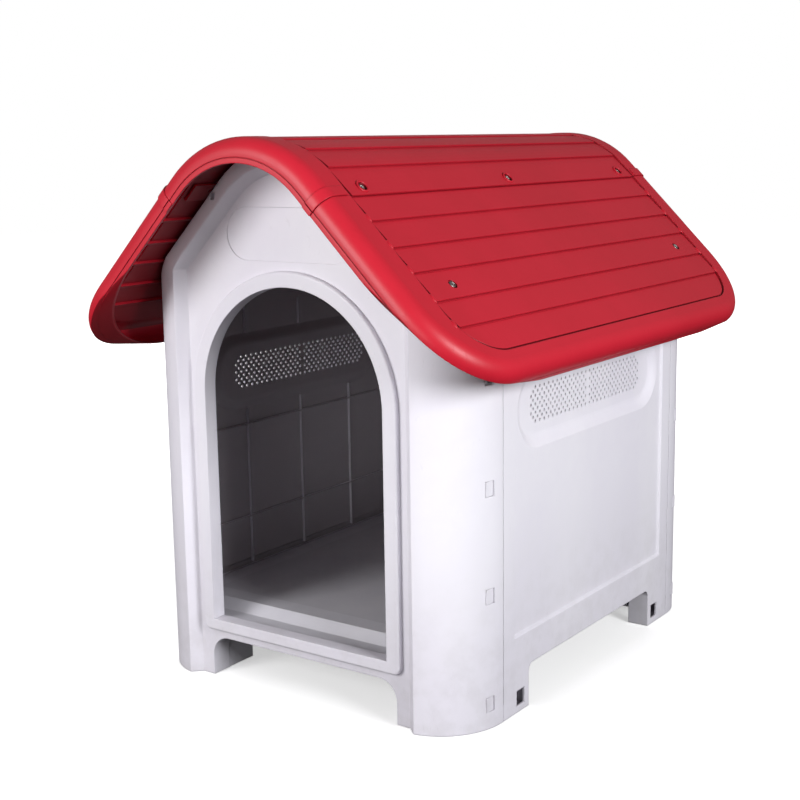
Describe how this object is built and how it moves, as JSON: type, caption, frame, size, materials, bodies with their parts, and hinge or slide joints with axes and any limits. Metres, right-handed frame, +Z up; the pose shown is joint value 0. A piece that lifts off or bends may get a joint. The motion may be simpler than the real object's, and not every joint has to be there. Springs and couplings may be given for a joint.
{
  "type": "pet house",
  "caption": "Moulded plastic pet house with an arched doorway, clip-together walls with perforated side vents, a floor tray and a lift-off planked roof in three pieces.",
  "frame": {"origin": "on the ground at the middle of the house", "axes": "+Z up, +Y from the doorway towards the back, +X to the right of a person facing the doorway"},
  "size_m": [0.5864, 0.755, 0.66],
  "materials": {
    "white_shell": "satin moulded polypropylene, off-white",
    "floor": "fine-grained moulded polypropylene, off-white",
    "red_roof": "satin moulded polypropylene, red",
    "screws": "zinc-plated steel"
  },
  "bodies": {
    "house": {"front_wall": "white_shell", "rear_wall": "white_shell", "left_wall": "white_shell", "right_wall": "white_shell", "floor_tray": "floor"},
    "roof": {"roof_ridge_cap": "red_roof", "roof_slope_left": "red_roof", "roof_slope_right": "red_roof", "ridge_screws_left": "screws", "ridge_screws_right": "screws", "rake_screws_left": "screws", "rake_screws_right": "screws"}
  },
  "joints": [
    {"name": "roof_lift", "type": "slide", "parent": "house", "child": "roof", "axis": [0, 0, 1], "range_m": [0, 0.3]}
  ]
}
